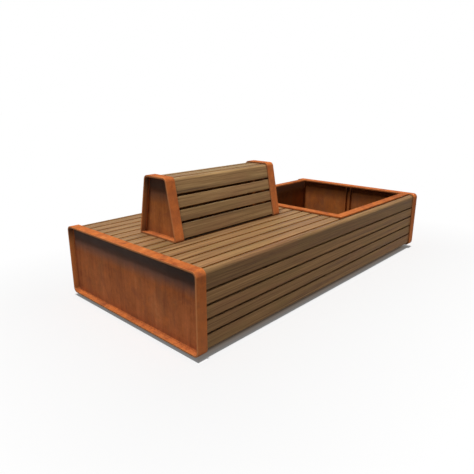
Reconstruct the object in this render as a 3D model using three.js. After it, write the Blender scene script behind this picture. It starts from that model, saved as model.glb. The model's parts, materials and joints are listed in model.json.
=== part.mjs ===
// Bench with planter: a low box of timber boards held between two bent steel end frames.
// A two-sided backrest stands on the seat, and a steel planter is let into the right end.
// Millimetres. X runs along the bench, Y from front to rear and Z up. The origin is on the
// ground, at the centre of the footprint.

import * as THREE from 'three';

// Overall sizes
const benchLength = 2400;
const benchDepth = 1140;
const rimHeight = 450;
const footHeight = 25;

// Flat bar and sheet of the end frames, shared by the backrest's ends
const frameWidth = 60;
const plate = 10;
const frameRadius = 30;
const panelRecess = 32;
const panelSheet = 5;

// Timber sections. Each row of plain boards has its count and gap, and fills what is open.
const boardThickness = 34;
const cornerBoardHeight = 93;
const bottomBoardHeight = 83;
const arrisRadius = 3;
const seatSlatCount = 14;
const seatSlatGap = 10.4;
const sideSlatCount = 3;
const sideSlatGap = 10.1;
const slatEndGap = 5;

// Backrest
const backrestMargin = 171;
const backrestHeight = 339;
const backrestBaseDepth = 318;
const backrestTopDepth = 182;
const backrestTopRadius = 26;
const backrestFootRadius = 10.5;
const backrestSlatCount = 2;
const backrestSlatGap = 13.3;
const backrestCapHeight = 83.5;
const backrestBottomBoardHeight = 81;

// Planter
const planterLength = 1048;
const rimWidth = 58;
const endRimWidth = 23;
const rimSideGap = 4;
const wallSetback = 18;
const wallSheet = 4;
const stiffenerWidth = 44;
const stiffenerDepth = 28;
const drainRadius = 12;
const drainRows = 2;
const drainColumns = 3;

// Carcass under the boards
const supportWidth = 50;
const supportRadius = 14;
const railWidth = 40;
const railHeight = 44;
const railWall = 3;
const railInset = 140;

// Levelling feet
const footPadRadius = 20;
const footPadHeight = 8;
const footPadChamfer = 2;
const footStemRadius = 8;
const footEdge = 2;

// Clearances
const weldGap = 0.3;
const fitGap = 0.3;

// Steps of a round corner: small arrises, and bends of the bar
const arrisSteps = 3;
const bendSteps = 8;
const roundSteps = 24;

// Places worked out from the sizes above
const rightEnd = benchLength / 2;
const halfDepth = benchDepth / 2;
const skinInset = plate + fitGap;
const boardTop = rimHeight - skinInset;
const boardBottom = footHeight + skinInset;
const boardFace = halfDepth - skinInset;
const boardBack = boardFace - boardThickness;
const boardEnd = rightEnd - panelRecess - panelSheet - fitGap;
const frameInnerEdge = rightEnd - frameWidth;
const rimRight = frameInnerEdge - fitGap;
const rimLeft = rimRight - planterLength;
const seatRight = rimLeft - slatEndGap;
const backrestLeft = -frameInnerEdge + backrestMargin;
const backrestRight = rimLeft - backrestMargin;
const backrestLength = backrestRight - backrestLeft;
const backrestBase = boardTop + fitGap;
const railCentre = halfDepth - railInset;
const railBottom = footHeight + plate + fitGap;
const railTop = railBottom + railHeight;

// Colours of the weathered steel, the oiled timber and the hidden carcass
const weatheredSteel = { color: 0x8a4c2b, roughness: 0.8, metalness: 0.25 };
const weatheredPanel = { color: 0x7c4528, roughness: 0.85, metalness: 0.2 };
const oiledTimber = { color: 0x8d6f4c, roughness: 0.7, metalness: 0 };
const galvanised = { color: 0x8f9396, roughness: 0.5, metalness: 0.7 };
const footRubber = { color: 0x2b2b2b, roughness: 0.9, metalness: 0 };

// The width of one board in a row that fills an open width, with a gap on each side of every board.
function slatWidth(open, count, gap) {
  return (open - (count + 1) * gap) / count;
}

function corner(y, z, radius = 0) {
  return { y, z, radius };
}

// The arc that rounds one corner, as points from its first tangent to its second.
function cornerArc(before, at, after) {
  const vertex = new THREE.Vector2(at.y, at.z);
  if (at.radius <= 0) return [vertex];
  const back = new THREE.Vector2(before.y, before.z).sub(vertex).normalize();
  const ahead = new THREE.Vector2(after.y, after.z).sub(vertex).normalize();
  const halfAngle = Math.acos(THREE.MathUtils.clamp(back.dot(ahead), -1, 1)) / 2;
  const bisector = back.clone().add(ahead).normalize();
  const centre = vertex.clone().addScaledVector(bisector, at.radius / Math.sin(halfAngle));
  const tangent = vertex.clone().addScaledVector(back, at.radius / Math.tan(halfAngle));
  const start = tangent.sub(centre);
  const turn = -Math.sign(back.cross(ahead)) * (Math.PI - 2 * halfAngle);
  const steps = at.radius > arrisRadius ? bendSteps : arrisSteps;
  const points = [];
  for (let i = 0; i <= steps; i += 1) {
    points.push(start.clone().rotateAround(new THREE.Vector2(), turn * i / steps).add(centre));
  }
  return points;
}

// All points of an outline whose corners may be round.
function outlinePoints(corners) {
  const count = corners.length;
  const neighbour = (i) => corners[(i + count) % count];
  return corners.flatMap((at, i) => cornerArc(neighbour(i - 1), at, neighbour(i + 1)));
}

// The same convex outline, drawn a distance further in. Corners run anticlockwise.
function inset(corners, distance) {
  const count = corners.length;
  const edges = corners.map((from, i) => {
    const to = corners[(i + 1) % count];
    const along = new THREE.Vector2(to.y - from.y, to.z - from.z).normalize();
    const start = new THREE.Vector2(from.y - along.y * distance, from.z + along.x * distance);
    return { start, along };
  });
  return corners.map((at, i) => {
    const into = edges[(i + count - 1) % count];
    const out = edges[i];
    const reach = out.start.clone().sub(into.start).cross(out.along) / into.along.cross(out.along);
    const vertex = into.start.clone().addScaledVector(into.along, reach);
    return corner(vertex.x, vertex.y, Math.max(at.radius - distance, 0));
  });
}

function rectangle(yLow, yHigh, zLow, zHigh, radius = 0) {
  return [
    corner(yLow, zLow, radius),
    corner(yHigh, zLow, radius),
    corner(yHigh, zHigh, radius),
    corner(yLow, zHigh, radius),
  ];
}

// A profile in the Y-Z plane, with any holes in it, drawn out along X from zero.
function alongX(corners, length, holes = []) {
  const shape = new THREE.Shape(outlinePoints(corners));
  shape.holes = holes.map((hole) => new THREE.Path(outlinePoints(hole)));
  const geometry = new THREE.ExtrudeGeometry(shape, { depth: length, bevelEnabled: false });
  const yAxis = new THREE.Vector3(0, 1, 0);
  const zAxis = new THREE.Vector3(0, 0, 1);
  const xAxis = new THREE.Vector3(1, 0, 0);
  return geometry.applyMatrix4(new THREE.Matrix4().makeBasis(yAxis, zAxis, xAxis));
}

// A plan outline, with any holes in it, drawn up along Z from zero.
function upwards(points, height, holes = []) {
  const shape = new THREE.Shape(points.map(([x, y]) => new THREE.Vector2(x, y)));
  shape.holes = holes;
  return new THREE.ExtrudeGeometry(shape, { depth: height, bevelEnabled: false, curveSegments: roundSteps });
}

function addMesh(parent, name, geometry, finish, x = 0, y = 0, z = 0) {
  const mesh = new THREE.Mesh(geometry, new THREE.MeshStandardMaterial(finish));
  mesh.name = name;
  mesh.position.set(x, y, z);
  parent.add(mesh);
  return mesh;
}

function addGroup(parent, x = 0, y = 0, z = 0) {
  const group = new THREE.Group();
  group.position.set(x, y, z);
  parent.add(group);
  return group;
}

// A flat bar bent round an outline, with a sheet set back inside it. The bar and the sheet
// at the right end are those of the left end, turned half round.
function addEnd(parent, title, side, outline, halfLength, steelNames) {
  const end = addGroup(parent, side * halfLength);
  const turned = side > 0;
  if (turned) end.rotation.z = Math.PI;
  const bar = alongX(outline, frameWidth, [inset(outline, plate)]);
  addMesh(end, `${steelNames.frame}_${title}`, bar, weatheredSteel);
  const sheet = alongX(inset(outline, plate + weldGap), panelSheet);
  addMesh(end, `${steelNames.panel}_${title}`, sheet, weatheredPanel, panelRecess);
}

function addBenchEnds(parent) {
  const outline = rectangle(-halfDepth, halfDepth, footHeight, rimHeight, frameRadius);
  const names = { frame: 'end_frame', panel: 'end_panel' };
  addEnd(parent, 'left', -1, outline, rightEnd, names);
  addEnd(parent, 'right', 1, outline, rightEnd, names);
}

// The seat boards lie side by side between the two corner boards.
function addSeat(parent) {
  const width = slatWidth(2 * boardBack, seatSlatCount, seatSlatGap);
  const section = rectangle(0, width, -boardThickness, 0, arrisRadius);
  const length = seatRight + boardEnd;
  for (let i = 0; i < seatSlatCount; i += 1) {
    const number = String(i + 1).padStart(2, '0');
    const y = -boardBack + seatSlatGap + i * (width + seatSlatGap);
    addMesh(parent, `seat_slat_${number}`, alongX(section, length), oiledTimber, -boardEnd, y, boardTop);
  }
}

// One long side: a corner board with a full round on its outer edge, plain slats, and a
// bottom board that is rounded to lie in the frame's lower bend. Drawn for the front.
function addSide(parent, title) {
  const skinRadius = frameRadius - skinInset;
  const length = 2 * boardEnd;
  const side = addGroup(parent, 0, -boardFace);
  const place = (name, section, z) => {
    addMesh(side, name, alongX(section, length), oiledTimber, -boardEnd, 0, z);
  };

  const top = rectangle(0, boardThickness, 0, cornerBoardHeight, arrisRadius);
  top[3].radius = skinRadius;
  place(`corner_board_${title}`, top, boardTop - cornerBoardHeight);

  const bottom = rectangle(0, boardThickness, 0, bottomBoardHeight, arrisRadius);
  bottom[0].radius = skinRadius;
  place(`bottom_board_${title}`, bottom, boardBottom);

  const open = boardTop - boardBottom - cornerBoardHeight - bottomBoardHeight;
  const width = slatWidth(open, sideSlatCount, sideSlatGap);
  const slat = rectangle(0, boardThickness, 0, width, arrisRadius);
  for (let i = 0; i < sideSlatCount; i += 1) {
    const below = (i + 1) * (width + sideSlatGap);
    place(`side_slat_${title}_${i + 1}`, slat, boardTop - cornerBoardHeight - below);
  }
}

function addSides(parent) {
  addSide(parent, 'front');
  const rear = addGroup(parent);
  rear.rotation.z = Math.PI;
  addSide(rear, 'rear');
}

// The backrest's end outline: a symmetrical trapezium that stands on the seat.
function backrestOutline() {
  const base = backrestBaseDepth / 2;
  const top = backrestTopDepth / 2;
  return [
    corner(-base, 0, backrestFootRadius),
    corner(base, 0, backrestFootRadius),
    corner(top, backrestHeight, backrestTopRadius),
    corner(-top, backrestHeight, backrestTopRadius),
  ];
}

// The timber skin's line up the front face, and the inner edge of its cap board's top.
function backrestSkin() {
  const [foot, , , head] = inset(backrestOutline(), skinInset);
  const lean = Math.atan2(head.y - foot.y, head.z - foot.z);
  const faceLength = Math.hypot(head.y - foot.y, head.z - foot.z);
  return { foot, head, lean, faceLength, capEdge: head.y + boardThickness / Math.cos(lean) };
}

// One leaning face, drawn for the front: a cap board whose outer edge is rounded to lie in
// the frame's top bend, plain slats, and a bottom board cut level with the seat.
function addBackrestFace(parent, title, length) {
  const { foot, head, lean, faceLength, capEdge } = backrestSkin();
  const face = addGroup(parent, -length / 2, foot.y, foot.z);
  face.rotation.x = -lean;
  const place = (name, section, up) => {
    addMesh(face, name, alongX(section, length), oiledTimber, 0, 0, up);
  };

  const bottom = rectangle(0, boardThickness, 0, backrestBottomBoardHeight, arrisRadius);
  bottom[1].z = boardThickness * Math.tan(lean);
  place(`backrest_bottom_board_${title}`, bottom, 0);

  const open = faceLength - backrestBottomBoardHeight - backrestCapHeight;
  const width = slatWidth(open, backrestSlatCount, backrestSlatGap);
  const slat = rectangle(0, boardThickness, 0, width, arrisRadius);
  for (let i = 0; i < backrestSlatCount; i += 1) {
    const up = faceLength - backrestCapHeight - (i + 1) * (width + backrestSlatGap);
    place(`backrest_slat_${title}_${i + 1}`, slat, up);
  }

  const outerFoot = new THREE.Vector2(head.y - foot.y, head.z - foot.z).setLength(-backrestCapHeight);
  outerFoot.add(new THREE.Vector2(head.y, head.z));
  const innerFoot = outerFoot.clone();
  innerFoot.x += boardThickness * Math.cos(lean);
  innerFoot.y -= boardThickness * Math.sin(lean);
  const cap = [
    corner(outerFoot.x, outerFoot.y, arrisRadius),
    corner(innerFoot.x, innerFoot.y, arrisRadius),
    corner(capEdge, head.z, arrisRadius),
    head,
  ];
  addMesh(parent, `backrest_cap_${title}`, alongX(cap, length), oiledTimber, -length / 2);
}

// The board that lies flat on top, with a gap to the cap board on each side.
function addBackrestTop(parent, length) {
  const { head, capEdge } = backrestSkin();
  const reach = -capEdge - backrestSlatGap;
  const section = rectangle(-reach, reach, -boardThickness, 0, arrisRadius);
  addMesh(parent, 'backrest_top_board', alongX(section, length), oiledTimber, -length / 2, 0, head.z);
}

function addBackrest(parent) {
  const backrest = addGroup(parent, (backrestLeft + backrestRight) / 2, 0, backrestBase);
  const names = { frame: 'backrest_frame', panel: 'backrest_panel' };
  const halfLength = backrestLength / 2;
  addEnd(backrest, 'left', -1, backrestOutline(), halfLength, names);
  addEnd(backrest, 'right', 1, backrestOutline(), halfLength, names);

  const boardLength = backrestLength - 2 * (panelRecess + panelSheet + fitGap);
  addBackrestFace(backrest, 'front', boardLength);
  const rear = addGroup(backrest);
  rear.rotation.z = Math.PI;
  addBackrestFace(rear, 'rear', boardLength);
  addBackrestTop(backrest, boardLength);
}

// The planter's opening and the faces of its walls, in plan.
const rimFront = boardBack - rimSideGap;
const opening = {
  left: rimLeft + rimWidth,
  right: rimRight - endRimWidth,
  half: rimFront - rimWidth,
};
const wallOutside = {
  left: opening.left - wallSetback - wallSheet,
  right: rimRight - fitGap,
  half: opening.half + wallSetback + wallSheet,
};
const wallInside = {
  left: wallOutside.left + wallSheet,
  right: wallOutside.right - wallSheet,
  half: wallOutside.half - wallSheet,
};

function planRectangle(left, right, front, rear) {
  return [[left, front], [right, front], [right, rear], [left, rear]];
}

// Round holes spread evenly over the planter's floor.
function drainHoles() {
  const holes = [];
  const length = wallInside.right - wallInside.left;
  for (let column = 0; column < drainColumns; column += 1) {
    for (let row = 0; row < drainRows; row += 1) {
      const x = wallInside.left + length * (column + 0.5) / drainColumns;
      const y = -wallInside.half + 2 * wallInside.half * (row + 0.5) / drainRows;
      holes.push(new THREE.Path().absarc(x, y, drainRadius, 0, 2 * Math.PI, true));
    }
  }
  return holes;
}

// The end wall in plan: a sheet with two flanges turned into the planter at its middle.
function stiffenedWall(half) {
  const { right } = wallInside;
  const back = wallOutside.right;
  const tip = right - stiffenerDepth;
  const edge = stiffenerWidth / 2;
  const inner = edge - wallSheet;
  return [
    [back, -half], [back, half], [right, half],
    [right, edge], [tip, edge], [tip, inner], [right, inner],
    [right, -inner], [tip, -inner], [tip, -edge], [right, -edge],
    [right, -half],
  ];
}

function addPlanter(parent) {
  const rimOutline = planRectangle(rimLeft, rimRight, -rimFront, rimFront);
  const mouth = planRectangle(opening.left, opening.right, -opening.half, opening.half);
  const mouthPath = new THREE.Path(mouth.map(([x, y]) => new THREE.Vector2(x, y)));
  const rimZ = rimHeight - plate;
  addMesh(parent, 'planter_rim', upwards(rimOutline, plate, [mouthPath]), weatheredSteel, 0, 0, rimZ);

  const floorZ = railTop + fitGap;
  const wallZ = floorZ + wallSheet + weldGap;
  const wallHeight = rimZ - weldGap - wallZ;
  const { left, right, half } = wallOutside;
  const floor = upwards(planRectangle(left, right, -half, half), wallSheet, drainHoles());
  addMesh(parent, 'planter_floor', floor, weatheredPanel, 0, 0, floorZ);

  const long = upwards(planRectangle(left, right, 0, wallSheet), wallHeight);
  addMesh(parent, 'planter_wall_front', long, weatheredPanel, 0, -half, wallZ);
  addMesh(parent, 'planter_wall_rear', long, weatheredPanel, 0, wallInside.half, wallZ);

  const reach = wallInside.half - weldGap;
  const end = upwards(planRectangle(0, wallSheet, -reach, reach), wallHeight);
  addMesh(parent, 'planter_wall_left', end, weatheredPanel, left, 0, wallZ);
  const stiffened = upwards(stiffenedWall(reach), wallHeight);
  addMesh(parent, 'planter_wall_right', stiffened, weatheredPanel, 0, 0, wallZ);
}

// Bent flat-bar frames that carry the boards: one under each end of the backrest, and one
// under the seat boards' ends beside the planter.
function addSupportFrames(parent) {
  const reach = boardBack - fitGap;
  const top = boardTop - boardThickness - fitGap;
  const outline = rectangle(-reach, reach, footHeight, top, supportRadius);
  const centres = [
    backrestLeft + frameWidth / 2,
    backrestRight - frameWidth / 2,
    seatRight - supportWidth / 2,
  ];
  centres.forEach((x, i) => {
    const bar = alongX(outline, supportWidth, [inset(outline, plate)]);
    addMesh(parent, `support_frame_${i + 1}`, bar, galvanised, x - supportWidth / 2);
  });
}

// Bent bars that fill the end frames behind their sheets. The boards' ends lie on them, and
// their two legs stand on the end frame's bottom bar.
function addEndLedges(parent) {
  const width = boardEnd - frameInnerEdge;
  const reach = boardBack - fitGap;
  const top = boardTop - boardThickness - fitGap;
  const section = [
    corner(-reach, railBottom),
    corner(plate - reach, railBottom),
    corner(plate - reach, top - plate, supportRadius - plate),
    corner(reach - plate, top - plate, supportRadius - plate),
    corner(reach - plate, railBottom),
    corner(reach, railBottom),
    corner(reach, top, supportRadius),
    corner(-reach, top, supportRadius),
  ];
  addMesh(parent, 'end_ledge_left', alongX(section, width), galvanised, -boardEnd);
  addMesh(parent, 'end_ledge_right', alongX(section, width), galvanised, frameInnerEdge);
}

// Two box tubes along the bench, on the bottom bars of all the frames, under the planter.
function addBaseRails(parent) {
  const outside = rectangle(-railWidth / 2, railWidth / 2, 0, railHeight, railWall);
  const tube = alongX(outside, 2 * boardEnd, [inset(outside, railWall)]);
  addMesh(parent, 'base_rail_front', tube, galvanised, -boardEnd, -railCentre, railBottom);
  addMesh(parent, 'base_rail_rear', tube, galvanised, -boardEnd, railCentre, railBottom);
}

// Levelling feet under the rails: at both end frames and at the frame beside the planter.
function addFeet(parent) {
  const top = footHeight - fitGap;
  const profile = [
    [0, 0],
    [footPadRadius, 0],
    [footPadRadius, footPadHeight - footPadChamfer],
    [footPadRadius - footPadChamfer, footPadHeight],
    [footStemRadius, footPadHeight],
    [footStemRadius, top],
    [0, top],
  ];
  const turned = new THREE.LatheGeometry(profile.map(([r, z]) => new THREE.Vector2(r, z)), roundSteps);
  turned.rotateX(Math.PI / 2);
  const atEnd = frameInnerEdge + footEdge + footStemRadius;
  const stations = {
    left: -atEnd,
    middle: seatRight - supportWidth / 2,
    right: atEnd,
  };
  for (const [place, x] of Object.entries(stations)) {
    addMesh(parent, `foot_front_${place}`, turned, footRubber, x, -railCentre);
    addMesh(parent, `foot_rear_${place}`, turned, footRubber, x, railCentre);
  }
}

const bench = new THREE.Group();
addBenchEnds(bench);
addSeat(bench);
addSides(bench);
addBackrest(bench);
addPlanter(bench);
addSupportFrames(bench);
addEndLedges(bench);
addBaseRails(bench);
addFeet(bench);

export default bench;
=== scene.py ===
"""A bench with a planter: timber boards between bent weathering-steel ends.

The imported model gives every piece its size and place. This script makes the visible
pieces from it, with rounded edges, boards with their own grain, welds and levelling feet,
and gives each one a procedural material. Lengths are in metres.
"""

import json
import math
import random
from typing import NamedTuple

import bmesh
import bpy
from mathutils import Matrix, Vector, noise


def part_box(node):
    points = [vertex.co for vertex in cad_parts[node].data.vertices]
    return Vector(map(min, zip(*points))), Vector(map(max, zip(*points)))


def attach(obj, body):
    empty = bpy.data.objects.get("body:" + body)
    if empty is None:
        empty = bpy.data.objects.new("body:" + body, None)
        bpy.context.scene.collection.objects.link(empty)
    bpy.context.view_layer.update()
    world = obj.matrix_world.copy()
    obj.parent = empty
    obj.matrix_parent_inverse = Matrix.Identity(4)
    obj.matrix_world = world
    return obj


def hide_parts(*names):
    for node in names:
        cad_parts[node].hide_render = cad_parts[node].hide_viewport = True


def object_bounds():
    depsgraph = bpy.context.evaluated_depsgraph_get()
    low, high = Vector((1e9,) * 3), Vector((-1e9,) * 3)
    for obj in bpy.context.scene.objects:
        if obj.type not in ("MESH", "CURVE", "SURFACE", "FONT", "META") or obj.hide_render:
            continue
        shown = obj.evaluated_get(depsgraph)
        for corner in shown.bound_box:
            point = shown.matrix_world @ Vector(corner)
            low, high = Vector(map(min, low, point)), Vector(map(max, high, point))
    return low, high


MM = 0.001
BODY = "root"
SEED = 11

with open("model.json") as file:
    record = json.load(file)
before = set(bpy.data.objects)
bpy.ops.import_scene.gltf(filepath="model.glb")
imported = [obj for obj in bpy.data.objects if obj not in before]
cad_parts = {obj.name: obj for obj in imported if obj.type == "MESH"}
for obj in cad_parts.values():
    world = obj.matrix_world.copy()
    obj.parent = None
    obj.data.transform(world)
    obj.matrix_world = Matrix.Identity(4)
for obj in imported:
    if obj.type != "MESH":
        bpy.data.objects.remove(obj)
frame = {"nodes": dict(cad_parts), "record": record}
cad_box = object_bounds()
chance = random.Random(SEED)


def top_of(node):
    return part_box(node)[1].z


# Camera

CAMERA_PLACE = Vector((-2.40547, -1.92783, 1.15774))
CAMERA_YAW = math.radians(42.8207)
CAMERA_PITCH = math.radians(16.7730)
CAMERA_ROLL = math.radians(0.0486)
CAMERA_LENS = 34.097
SENSOR_WIDTH = 36.0


def add_camera():
    """The photograph's viewpoint, level but for a slight roll, looking down at the bench."""
    ahead = Vector((math.cos(CAMERA_YAW), math.sin(CAMERA_YAW), 0)) * math.cos(CAMERA_PITCH)
    ahead.z = -math.sin(CAMERA_PITCH)
    level = Vector((math.sin(CAMERA_YAW), -math.cos(CAMERA_YAW), 0))
    above = level.cross(ahead)
    right = level * math.cos(CAMERA_ROLL) + above * math.sin(CAMERA_ROLL)
    up = above * math.cos(CAMERA_ROLL) - level * math.sin(CAMERA_ROLL)
    data = bpy.data.cameras.new("camera")
    data.lens = CAMERA_LENS
    data.sensor_width = SENSOR_WIDTH
    data.sensor_fit = "HORIZONTAL"
    camera = bpy.data.objects.new("camera", data)
    axes = Matrix((right, up, -ahead)).transposed().to_4x4()
    camera.matrix_world = Matrix.Translation(CAMERA_PLACE) @ axes
    bpy.context.scene.collection.objects.link(camera)
    bpy.context.scene.camera = camera


# Nodes of materials

UPRIGHT_SLOPE = 0.35
LEVEL_SLOPE = 0.8
OPEN_SAMPLES = 4
TONE_SPAN = (0.36, 0.64)
NOISE_SPAN = (0.3, 0.7)


def srgb(red, green, blue):
    """A colour from its eight-bit values, as the linear colour that a shader takes."""
    def linear(value):
        share = value / 255
        return share / 12.92 if share <= 0.04045 else ((share + 0.055) / 1.055) ** 2.4
    return (linear(red), linear(green), linear(blue), 1.0)


def grey(level):
    return (level, level, level, 1.0)


class Shader:
    """A node tree with short ways to add nodes. Inputs are values or other nodes' outputs."""

    def __init__(self, owner):
        owner.use_nodes = True
        self.tree = owner.node_tree
        self.tree.nodes.clear()

    def add(self, kind, inputs=(), **settings):
        node = self.tree.nodes.new("ShaderNode" + kind)
        for key, value in settings.items():
            setattr(node, key, value)
        for key, value in dict(inputs).items():
            if isinstance(value, bpy.types.NodeSocket):
                self.tree.links.new(value, node.inputs[key])
            else:
                node.inputs[key].default_value = value
        return node

    def noise(self, place, scale, detail=4.0, roughness=0.55, distortion=0.0):
        if not isinstance(scale, (int, float)):
            place = self.add("Mapping", {"Vector": place, "Scale": scale}).outputs[0]
            scale = 1.0
        inputs = {"Vector": place, "Scale": scale, "Detail": detail, "Roughness": roughness}
        inputs["Distortion"] = distortion
        return self.add("TexNoise", inputs).outputs["Fac"]

    def math(self, operation, first, second=0.0, third=0.0):
        inputs = {0: first, 1: second, 2: third}
        return self.add("Math", inputs, operation=operation).outputs[0]

    def product(self, first, *others):
        for other in others:
            first = self.math("MULTIPLY", first, other)
        return first

    def blend(self, first, second, share):
        """A value that goes from the first to the second as the share goes from 0 to 1."""
        return self.math("MULTIPLY_ADD", self.math("SUBTRACT", second, first), share, first)

    def fit(self, value, low, high, to_low=0.0, to_high=1.0):
        """The value's range from low to high, stretched to another range and held in it."""
        inputs = {"Value": value, "From Min": low, "From Max": high}
        inputs["To Min"] = to_low
        inputs["To Max"] = to_high
        return self.add("MapRange", inputs).outputs[0]

    def ramp(self, value, stops):
        node = self.add("ValToRGB", {"Fac": value})
        elements = node.color_ramp.elements
        while len(elements) < len(stops):
            elements.new(1.0)
        for element, (place, colour) in zip(elements, stops):
            element.position = place
            element.color = colour
        return node.outputs["Color"]

    def mix(self, share, first, second, blend="MIX"):
        node = self.add("Mix", data_type="RGBA", blend_type=blend)
        for name, value in (("Factor_Float", share), ("A_Color", first), ("B_Color", second)):
            socket = next(s for s in node.inputs if s.identifier == name)
            if isinstance(value, bpy.types.NodeSocket):
                self.tree.links.new(value, socket)
            else:
                socket.default_value = value
        return next(s for s in node.outputs if s.identifier == "Result_Color")

    def scaled(self, colour, red, green, blue):
        """The colour with each of its channels multiplied by a value of its own."""
        factors = self.add("CombineColor", {0: red, 1: green, 2: blue}).outputs[0]
        return self.mix(1.0, colour, factors, "MULTIPLY")

    def dimmed(self, colour, level):
        return self.scaled(colour, level, level, level)

    def bump(self, height, distance, strength):
        inputs = {"Height": height, "Distance": distance, "Strength": strength}
        return self.add("Bump", inputs).outputs["Normal"]

    def surface(self, colour, roughness, normal, specular, metallic=0.0):
        inputs = {"Base Color": colour, "Roughness": roughness, "Normal": normal}
        inputs["Metallic"] = metallic
        inputs["Specular IOR Level"] = specular
        shader = self.add("BsdfPrincipled", inputs)
        self.add("OutputMaterial", {"Surface": shader.outputs[0]})


def object_place(shader):
    return shader.add("TexCoord").outputs["Object"]


def part_of(shader, vector, axis):
    return shader.add("SeparateXYZ", {0: vector}).outputs[axis]


def height_of(shader, vector):
    return part_of(shader, vector, "Z")


def face_direction(shader):
    return shader.add("NewGeometry").outputs["Normal"]


def open_share(shader, reach):
    """How open a point's surroundings are within a reach, from 0 in a hollow to 1."""
    return shader.add("AmbientOcclusion", {"Distance": reach}, samples=OPEN_SAMPLES).outputs["AO"]


def mesh_value(shader, name):
    """A number that a mesh carries at its points, or 0 where it has none of that name."""
    return shader.add("Attribute", attribute_name=name).outputs["Fac"]


def upright_share(shader):
    """1 on upright faces and 0 on level ones."""
    level = shader.math("ABSOLUTE", height_of(shader, face_direction(shader)))
    return shader.fit(level, UPRIGHT_SLOPE, LEVEL_SLOPE, 1.0, 0.0)


# Rust

class Patch(NamedTuple):
    """A second colour that shows where a noise is high, and its greatest share.

    A noise has its scale, its detail and, where they aren't the usual ones, its roughness and
    its distortion.
    """
    colour: tuple
    noise: tuple
    start: float
    full: float
    share: float = 1.0


def patched(shader, colour, place, patch, share=1.0):
    """The colour with the patch's own mixed in."""
    noise = shader.noise(place, *patch.noise)
    found = shader.fit(noise, patch.start, patch.full, 0.0, patch.share)
    return shader.mix(shader.product(found, share), colour, patch.colour)


FRAME_LOW, FRAME_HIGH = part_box("end_frame_left")
RIM_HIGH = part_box("planter_rim")[1]

BAR_STOPS = (
    (0.0, srgb(146, 70, 38)),
    (0.35, srgb(188, 102, 50)),
    (0.75, srgb(208, 118, 60)),
    (1.0, srgb(226, 138, 74)),
)
SHEET_STOPS = (
    (0.0, srgb(148, 80, 48)),
    (0.35, srgb(184, 106, 61)),
    (0.7, srgb(204, 119, 71)),
    (1.0, srgb(220, 142, 90)),
)
BACKREST_STOPS = (
    (0.0, srgb(146, 85, 46)),
    (0.35, srgb(182, 112, 60)),
    (0.7, srgb(202, 126, 70)),
    (1.0, srgb(218, 148, 88)),
)
PLANTER_STOPS = (
    (0.0, srgb(158, 84, 40)),
    (0.35, srgb(178, 102, 48)),
    (0.7, srgb(192, 112, 54)),
    (1.0, srgb(200, 124, 62)),
)

CLOUDS = (4.5, 4)
BLOTCHES = (26, 6, 0.62)
BLOTCHES_SHARE = 0.5
RUNS = ((20, 20, 1.6), 6, 0.62, 0.4)
THIN_RUNS = ((110, 110, 5), 4, 0.6)
THIN_RUNS_SHARE = 0.25
GRIT = (420, 3, 0.7)
GRIT_RELIEF = 0.35
RUST_RELIEF = 0.6 * MM
RUST_BUMP = 0.6
RUST_ROUGHNESS = (0.74, 0.92)
RUST_SPECULAR = 0.12

OLIVE = Patch(srgb(172, 114, 72), ((7, 7, 3), 4, 0.6), 0.52, 0.68)
SPECKS = Patch(srgb(122, 62, 34), GRIT, 0.56, 0.72, 0.35)
BLOOM = Patch(srgb(216, 132, 74), (95, 3, 0.6), 0.6, 0.75, 0.3)
BRIGHT = Patch(srgb(232, 128, 54), (15, 5, 0.6, 0.8), 0.52, 0.64)
DULL = Patch(srgb(142, 84, 54), (19, 5, 0.62, 0.8), 0.54, 0.66)
STAIN = Patch(srgb(134, 78, 58), ((9, 9, 6), 5, 0.62, 1.0), 0.5, 0.64, 0.6)

# Painted light: the outer upright faces of bars are mixed paler towards the ground.
PAINTED_LOW_LIGHT = srgb(245, 150, 92)
LOW_LIGHT_FROM = FRAME_LOW.z + 35 * MM
LOW_LIGHT_TO = FRAME_HIGH.z - 30 * MM
LOW_LIGHT_SHARES = (0.42, 0.08)
RUBBED = srgb(222, 148, 96)
RUBBED_SHARE = 0.55
# Painted light: colours for the inner walls of bars that stand in for the light bounced into them;
# the duller one is for the backrest.
PAINTED_INNER_LIGHT = srgb(239, 152, 84)
PAINTED_INNER_LIGHT_DULL = srgb(146, 98, 54)
PAINTED_INNER_LIGHT_SHARE = 0.7
# Painted shade: the inner walls of a bar darken towards its top, under the top bar.
PAINTED_HOLLOW_SHADE = srgb(56, 36, 26)
HOLLOW_SHADE_FULL = 30 * MM
HOLLOW_SHADE_DEPTH = 110 * MM
HOLLOW_SHADE_SHARE = 0.85
DUSTY = srgb(140, 88, 56)
DUSTY_SHARE = 0.12
# Painted shade: corners darken by how open they are. The same dark colour is the painted shade
# under the planter's rim.
PAINTED_SHADE = srgb(84, 50, 34)
CORNER_SHADE_REACH = 60 * MM
CORNER_SHADE_SPAN = (0.55, 0.9)
CORNER_SHADE_SPARED = 0.65

LINE_WANDER = 30 * MM
# A grey patina just below the top bar of a sheet, which also stands in for a painted sheen in the
# shade there.
PATINA_SHEEN = srgb(141, 119, 109)
PATINA_SHEEN_DARK = srgb(122, 100, 86)
PATINA_SHEEN_FULL = 30 * MM
PATINA_SHEEN_DEPTH = 130 * MM
# Painted shade inside the planter: its walls dim towards the top, and its long walls take more
# painted shade under the rim.
TOP_SHADE_LOW = FRAME_HIGH.z - 140 * MM
TOP_SHADE_HIGH = FRAME_HIGH.z - 70 * MM
TOP_SHADE_LEVEL = 0.5
RIM_SHADE_HIGH = FRAME_HIGH.z - 30 * MM
RIM_SHADE_SHARE = 0.85
SOIL_LINE = FRAME_HIGH.z - 270 * MM
SOIL_FADE = 40 * MM
DAMP = srgb(56, 41, 32)
SILT = Patch(srgb(88, 68, 54), (7, 6, 0.68, 0.5), 0.46, 0.62, 0.75)


class Slope(NamedTuple):
    """A level of painted light and shade that changes along an axis from one place to another."""
    axis: str
    start: float
    end: float
    levels: tuple


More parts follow.
